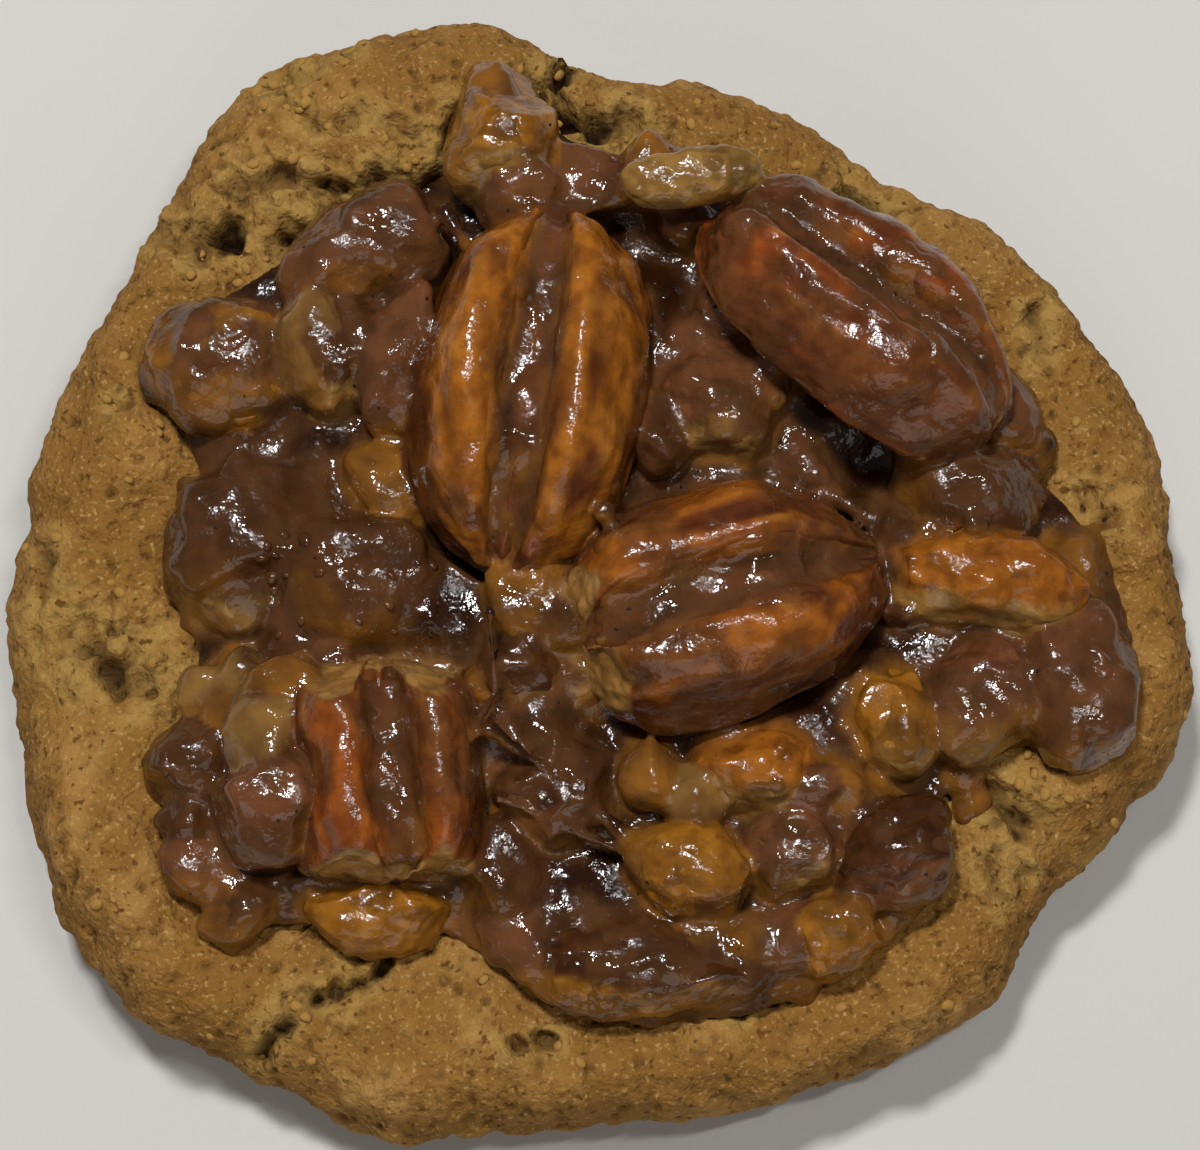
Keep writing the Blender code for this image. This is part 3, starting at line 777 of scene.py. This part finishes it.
# Drips that ran over the edge onto the dough, and soft lumps of syrup: centre, (length, width, height), turn.
DRIPS = (
    ((16.6, -31.8, 14.2), (5.8, 3.6, 3.4), 80), ((17.0, -34.6, 13.0), (4.4, 2.8, 2.2), 80),
    ((26.4, 8.6, 18.8), (7.0, 4.0, 6.0), -50),
    ((33.4, 13.6, 15.2), (5.0, 4.0, 4.0), -60), ((36.2, 9.0, 15.0), (4.0, 5.0, 3.6), 0),
    ((-36.0, 15.4, 15.2), (3.6, 6.0, 3.4), 0), ((-12.4, -24.6, 18.0), (6.4, 4.0, 4.0), -30),
)
for k, (centre, size, turn, tilt, tone) in enumerate(LUMPS):
    corners, faces = lump(centre, size, (turn, tilt), 440 + k)
    bits.append((corners, faces, np.tile(tone, (len(corners), 1)), corners))
wetted = [(film, faces) for _, faces, _, film in nuts]
coated = [(bit[0] + normals_of(bit[0], bit[1]) * 0.3, bit[1]) for bit in bits]
strands = [strand(*how) for how in STRANDS]
drips = [blob(centre, size, 420 + k, turn) for k, (centre, size, turn) in enumerate(DRIPS)]
heap = new_object("caramel_heap", *joined([(base_corners, base_faces)] + wetted + coated + strands + drips))
settled(heap, [("REMESH", {"mode": "VOXEL", "voxel_size": VOXEL * MM})])


def largest_body(obj):
    """Keeps the one largest connected body of a mesh."""
    edges = np.empty(len(obj.data.edges) * 2, np.int32)
    obj.data.edges.foreach_get("vertices", edges)
    a, b = edges.reshape(-1, 2).T
    label = np.arange(len(obj.data.vertices))
    while True:
        low = np.minimum(label[a], label[b])
        new = label.copy()
        np.minimum.at(new, a, low)
        np.minimum.at(new, b, low)
        new = new[new]
        if (new == label).all():
            break
        label = new
    keep = label == np.bincount(label).argmax()
    corners = points_of(obj)[0]
    faces = np.array([tuple(p.vertices) for p in obj.data.polygons])
    number = np.cumsum(keep) - 1
    faces = number[faces[keep[faces[:, 0]]]]
    mesh = bpy.data.meshes.new(obj.name)
    mesh.from_pydata((corners[keep] * MM).tolist(), [], faces.tolist())
    mesh.shade_smooth()
    obj.data = mesh


def hollows_of(obj, rounds):
    """How far each corner lies below the heap smoothed this often: above 0 in a gap, below 0 on a crest."""
    copy = bpy.data.objects.new("copy", obj.data.copy())
    bpy.context.scene.collection.objects.link(copy)
    settled(copy, [("SMOOTH", {"factor": 0.5, "iterations": rounds})])
    corners, normals = points_of(obj)
    below = ((points_of(copy)[0] - corners) * normals).sum(axis=1)
    bpy.data.objects.remove(copy)
    return below


largest_body(heap)
settled(heap, [("SMOOTH", {"factor": 0.5, "iterations": 5})])
corners, normals = points_of(heap)
creases = np.maximum(0, hollows_of(heap, 24))
move_points(heap, corners + normals * (creases * 1.1)[:, None])  # syrup fills them
settled(heap, [("SMOOTH", {"factor": 0.5, "iterations": 3})])
corners, normals = points_of(heap)
ripple = waves(corners, 3.0, 401) * 0.26 + waves(corners, 1.6, 402) * 0.18 + waves(corners, 0.9, 403) * 0.11
above = smooth(0.3, 1.2, corners[:, 2] - 12.4)
corners = corners + normals * (ripple * above)[:, None]
move_points(heap, corners)
gap = smooth(0.1, 1.5, hollows_of(heap, 60))
crest = smooth(0.05, 0.9, -hollows_of(heap, 30))

all_nuts = nuts + bits
nut_corners, nut_faces = joined([(c, f) for c, f, _, _ in all_nuts])
nut_colours = np.concatenate([colour for _, _, colour, _ in all_nuts])
nut_tree = tree_of(nut_corners, nut_faces)
depth = np.full(len(corners), 9.0)
colours = np.tile(BROWN, (len(corners), 1))
for i, corner in enumerate(corners):
    spot, way, face, _ = nut_tree.find_nearest(Vector(corner), 3.0)
    if spot is not None:
        depth[i] = (Vector(corner) - spot).dot(way)
        colours[i] = nut_colours[nut_faces[face][0]]
CARAMEL_DARK = linear("2C1507")
CARAMEL_THIN = linear("5A3B22")
thick = smooth(-0.2, 1.2, depth + 0.5 * waves(corners, 1.6, 404) - 0.5 * crest)
body = tinted(CARAMEL_THIN, CARAMEL_DARK, smooth(0.3, 2.2, depth + 0.8 * waves(corners, 3.0, 405)))
colours = tinted(colours, body, 0.3 + 0.7 * thick)
# Painted light: an amber glow painted on the syrup where it faces -Y and, in patches, on its crests, where
# the film is also thinner.
painted_glow = smooth(0.0, 0.7, -normals[:, 1]) * smooth(-0.25, 0.5, waves(corners, 4.4, 406)) * smooth(0.5, 0.0, gap)
painted_glow = np.maximum(painted_glow * 0.6, 0.75 * smooth(0.25, 0.7, waves(corners, 3.2, 407)) * crest)
colours = tinted(colours, AMBER * 0.8, painted_glow)
# Painted shade darkens the gaps between the lumps, and painted light brightens their crests.
colours = colours * (1 - 0.62 * gap)[:, None] * (1 + 0.22 * crest)[:, None]

# Fewer triangles where the heap is smooth, each corner keeping the colour of the nearest old one.
old_places = KDTree(len(corners))
for i, corner in enumerate(corners):
    old_places.insert(corner, i)
old_places.balance()
settled(heap, [("DECIMATE", {"ratio": MOST_TRIANGLES / len(triangles_of(heap))})])
heap.data.shade_smooth()
corners, normals = points_of(heap)
paint(heap, colours[[old_places.find(corner)[1] for corner in corners]])

caramel = material("caramel")
# The tint holds the syrup's colour with painted shade in its gaps and painted light on its crests and glow.
syrup_colour_and_painted_light = node(caramel, "ShaderNodeAttribute", {"attribute_name": "tint"}).outputs["Color"]
cloud = ramp(caramel, speckle(caramel, 3.2, 5), 0.35, 0.66)
cloudy = mixed(caramel, cloud, (0.76, 0.72, 0.68), (1.22, 1.16, 1.08))
colour = mixed(caramel, 1.0, syrup_colour_and_painted_light, cloudy, "MULTIPLY")
gloss = uneven_gloss(caramel, speckle(caramel, 2.4, 3), (0.35, 0.7), (0.05, 0.3))
surfaced(
    caramel, colour, gloss, speckle(caramel, 0.9, 2), 0.15, 1.0,
    Specular_IOR_Level=0.45, Subsurface_Weight=0.15, Subsurface_Scale=0.002,
)
heap.data.materials.append(caramel)
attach(heap, "root")
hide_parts("caramel_filling")

# ----------------------------------------------------------------------------------------------------------
# What is scattered over it: dark specks of spice and bubbles caught in the caramel, and crumbs of the dough
# that lie loose on the rim and cling to the wet edge of the filling.
# ----------------------------------------------------------------------------------------------------------
LONGER = 1.35  # a scattered lump's length over its width


def scattered(name, ground, count, small, large, weight, look, squash=1.0, sink=0.0, seed=1):
    """Many little lumps over a piece, as one mesh: more of them where the ground's own weight is high."""
    tree = bpy.data.node_groups.new(name + "_nodes", "GeometryNodeTree")
    face = tree.interface
    face.new_socket("Geometry", in_out="INPUT", socket_type="NodeSocketGeometry")
    asked = {}
    for title, kind, value in (
        ("Ground", "NodeSocketObject", ground), ("Per square metre", "NodeSocketFloat", count),
        ("Smallest", "NodeSocketFloat", small * MM), ("Largest", "NodeSocketFloat", large * MM),
        ("Seed", "NodeSocketInt", seed),
    ):
        asked[title] = (face.new_socket(title, in_out="INPUT", socket_type=kind).identifier, value)
    face.new_socket("Geometry", in_out="OUTPUT", socket_type="NodeSocketGeometry")
    add, link = tree.nodes.new, tree.links.new

    def product(output, other):
        """An output times another output or a number."""
        times = add("ShaderNodeMath")
        times.operation = "MULTIPLY"
        link(output, times.inputs[0])
        if isinstance(other, bpy.types.NodeSocket):
            link(other, times.inputs[1])
        else:
            times.inputs[1].default_value = other
        return times.outputs[0]

    given, end = add("NodeGroupInput"), add("NodeGroupOutput")
    read = add("GeometryNodeObjectInfo")
    link(given.outputs["Ground"], read.inputs["Object"])
    amount = add("GeometryNodeInputNamedAttribute")
    amount.data_type = "FLOAT"
    amount.inputs["Name"].default_value = weight
    spots = add("GeometryNodeDistributePointsOnFaces")
    link(read.outputs["Geometry"], spots.inputs["Mesh"])
    density = product(amount.outputs["Attribute"], given.outputs["Per square metre"])
    link(density, spots.inputs["Density"])
    link(given.outputs["Seed"], spots.inputs["Seed"])
    lump = add("GeometryNodeMeshIcoSphere")
    lump.inputs["Radius"].default_value = 0.5
    lump.inputs["Subdivisions"].default_value = 2
    chance = add("FunctionNodeRandomValue")
    chance.data_type = "FLOAT"
    link(given.outputs["Smallest"], chance.inputs[2])
    link(given.outputs["Largest"], chance.inputs[3])
    link(given.outputs["Seed"], chance.inputs["Seed"])
    shape = add("ShaderNodeCombineXYZ")
    link(product(chance.outputs[1], LONGER), shape.inputs[0])
    link(chance.outputs[1], shape.inputs[1])
    link(product(chance.outputs[1], squash), shape.inputs[2])
    placed = add("GeometryNodeInstanceOnPoints")
    link(spots.outputs["Points"], placed.inputs["Points"])
    link(lump.outputs["Mesh"], placed.inputs["Instance"])
    link(spots.outputs["Rotation"], placed.inputs["Rotation"])
    link(shape.outputs[0], placed.inputs["Scale"])
    turned = add("GeometryNodeRotateInstances")
    link(placed.outputs["Instances"], turned.inputs["Instances"])
    spin = add("FunctionNodeRandomValue")
    spin.data_type = "FLOAT_VECTOR"
    spin.inputs[1].default_value = (0.3, 0.3, 6.28)
    link(spin.outputs[0], turned.inputs["Rotation"])
    moved = add("GeometryNodeTranslateInstances")
    moved.inputs["Translation"].default_value = (0, 0, -sink)
    link(turned.outputs["Instances"], moved.inputs["Instances"])
    real = add("GeometryNodeRealizeInstances")
    link(moved.outputs["Instances"], real.inputs["Geometry"])
    covered = add("GeometryNodeSetMaterial")
    covered.inputs["Material"].default_value = look
    link(real.outputs[0], covered.inputs["Geometry"])
    link(covered.outputs[0], end.inputs[0])
    made = new_object(name, [(0, 0, 0)], [])
    modifier = made.modifiers.new("scatter", "NODES")
    modifier.node_group = tree
    for identifier, value in asked.values():
        modifier[identifier] = value
    graph = bpy.context.evaluated_depsgraph_get()
    mesh = bpy.data.meshes.new_from_object(made.evaluated_get(graph))
    made.modifiers.clear()
    made.data = mesh
    mesh.shade_smooth()
    return made


def roughened(obj, size, share, seed):
    """Makes every little lump of a scattered piece uneven."""
    corners, normals = points_of(obj)
    move_points(obj, corners + normals * (waves(corners, size, seed) * share)[:, None])


FROTH_X, FROTH_Y, FROTH_RADIUS = -19.5, -1.5, 8.5  # mm, where the boil left most of its bubbles

corners, normals = points_of(heap)
top_side = smooth(0.2, 0.7, normals[:, 2]) * smooth(13.0, 15.0, corners[:, 2])
mark(heap, "specks", top_side * smooth(-0.6, 0.6, waves(corners, 9.0, 600)))
frothy = np.hypot(corners[:, 0] - FROTH_X, corners[:, 1] - FROTH_Y) < FROTH_RADIUS
mark(heap, "bubbles", top_side * frothy + 0.02 * top_side)

# Spice: cinnamon-dark specks of a sixth to a third of a millimetre, half sunk in the caramel.
spice = surfaced(material("ground_spice"), linear("1A0D06"), 0.6)
specks = scattered("spice_specks", heap, 52000, 0.16, 0.34, "specks", spice, 0.6, 0.00003, 3)
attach(specks, "root")

# Bubbles: skins of the same caramel blown up by the boil, each a tiny bright bead.
bubbles = scattered("caramel_bubbles", heap, 90000, 0.35, 1.1, "bubbles", caramel, 0.7, 0.0, 5)
paint(bubbles, np.tile(CARAMEL_THIN, (len(bubbles.data.vertices), 1)))
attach(bubbles, "root")

corners, normals = points_of(cookie)
rim = smooth(0.1, 0.7, normals[:, 2]) * smooth(6.0, 10.0, corners[:, 2])
mark(cookie, "crumbs", rim * (0.35 + 0.65 * torn) * smooth(-0.3, 0.6, waves(corners, 6.0, 610)))

# Crumbs: grains broken off the torn dough, dull and golden, that lie on the rim.
dough = material("dough_crumbs")
surfaced(dough, linear("AE8444"), 0.85, speckle(dough, 0.3, 2), 0.1, 0.6, Specular_IOR_Level=0.1)
crumbs = scattered("loose_crumbs", cookie, 130000, 0.3, 1.0, "crumbs", dough, 0.8, 0.0, 8)
roughened(crumbs, 0.4, 0.12, 620)
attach(crumbs, "root")

# ----------------------------------------------------------------------------------------------------------
# The light, the floor and the camera: a plain pale table under soft white lamps, seen almost from above.
# ----------------------------------------------------------------------------------------------------------
bpy.ops.mesh.primitive_plane_add(size=4, location=(0, 0, -0.0002))
floor = bpy.context.object
floor.name = "floor"
pale = material("pale_table")
surfaced(pale, linear("D9D7D2"), 0.7)
floor.data.materials.append(pale)


def lamp(name, size, watts, place, aim=(0, 0, 0.02)):
    light = bpy.data.lights.new(name, "AREA")
    light.shape = "RECTANGLE"
    light.size, light.size_y = size
    light.energy = watts
    made = bpy.data.objects.new(name, light)
    bpy.context.scene.collection.objects.link(made)
    made.location = place
    made.rotation_euler = (Vector(aim) - Vector(place)).to_track_quat("-Z", "Y").to_euler()


lamp("window", (0.09, 0.07), 2.9, (-0.10, 0.22, 0.66))
lamp("ceiling", (0.03, 0.16), 1.0, (0.18, 0.06, 0.70))
lamp("fill", (0.70, 0.40), 0.9, (0.05, -0.60, 0.50))
world = bpy.data.worlds.new("room")
world.use_nodes = True
world.node_tree.nodes["Background"].inputs["Color"].default_value = (1, 1, 1, 1)
world.node_tree.nodes["Background"].inputs["Strength"].default_value = 0.08
bpy.context.scene.world = world

EYE_DISTANCE, EYE_ELEVATION = 0.32, math.radians(80)
LENS = 114.4  # mm, on a 36 mm sensor
look_at = Vector((0.0002, -0.0003, 0.008))
camera = bpy.data.objects.new("camera", bpy.data.cameras.new("camera"))
bpy.context.scene.collection.objects.link(camera)
camera.data.sensor_width = 36
camera.data.lens = LENS
camera.location = look_at + Vector((0, -math.cos(EYE_ELEVATION), math.sin(EYE_ELEVATION))) * EYE_DISTANCE
camera.rotation_euler = (look_at - camera.location).to_track_quat("-Z", "Y").to_euler()
bpy.context.scene.camera = camera
bpy.context.scene.view_settings.view_transform = "Standard"
bpy.context.scene.view_settings.look = "None"
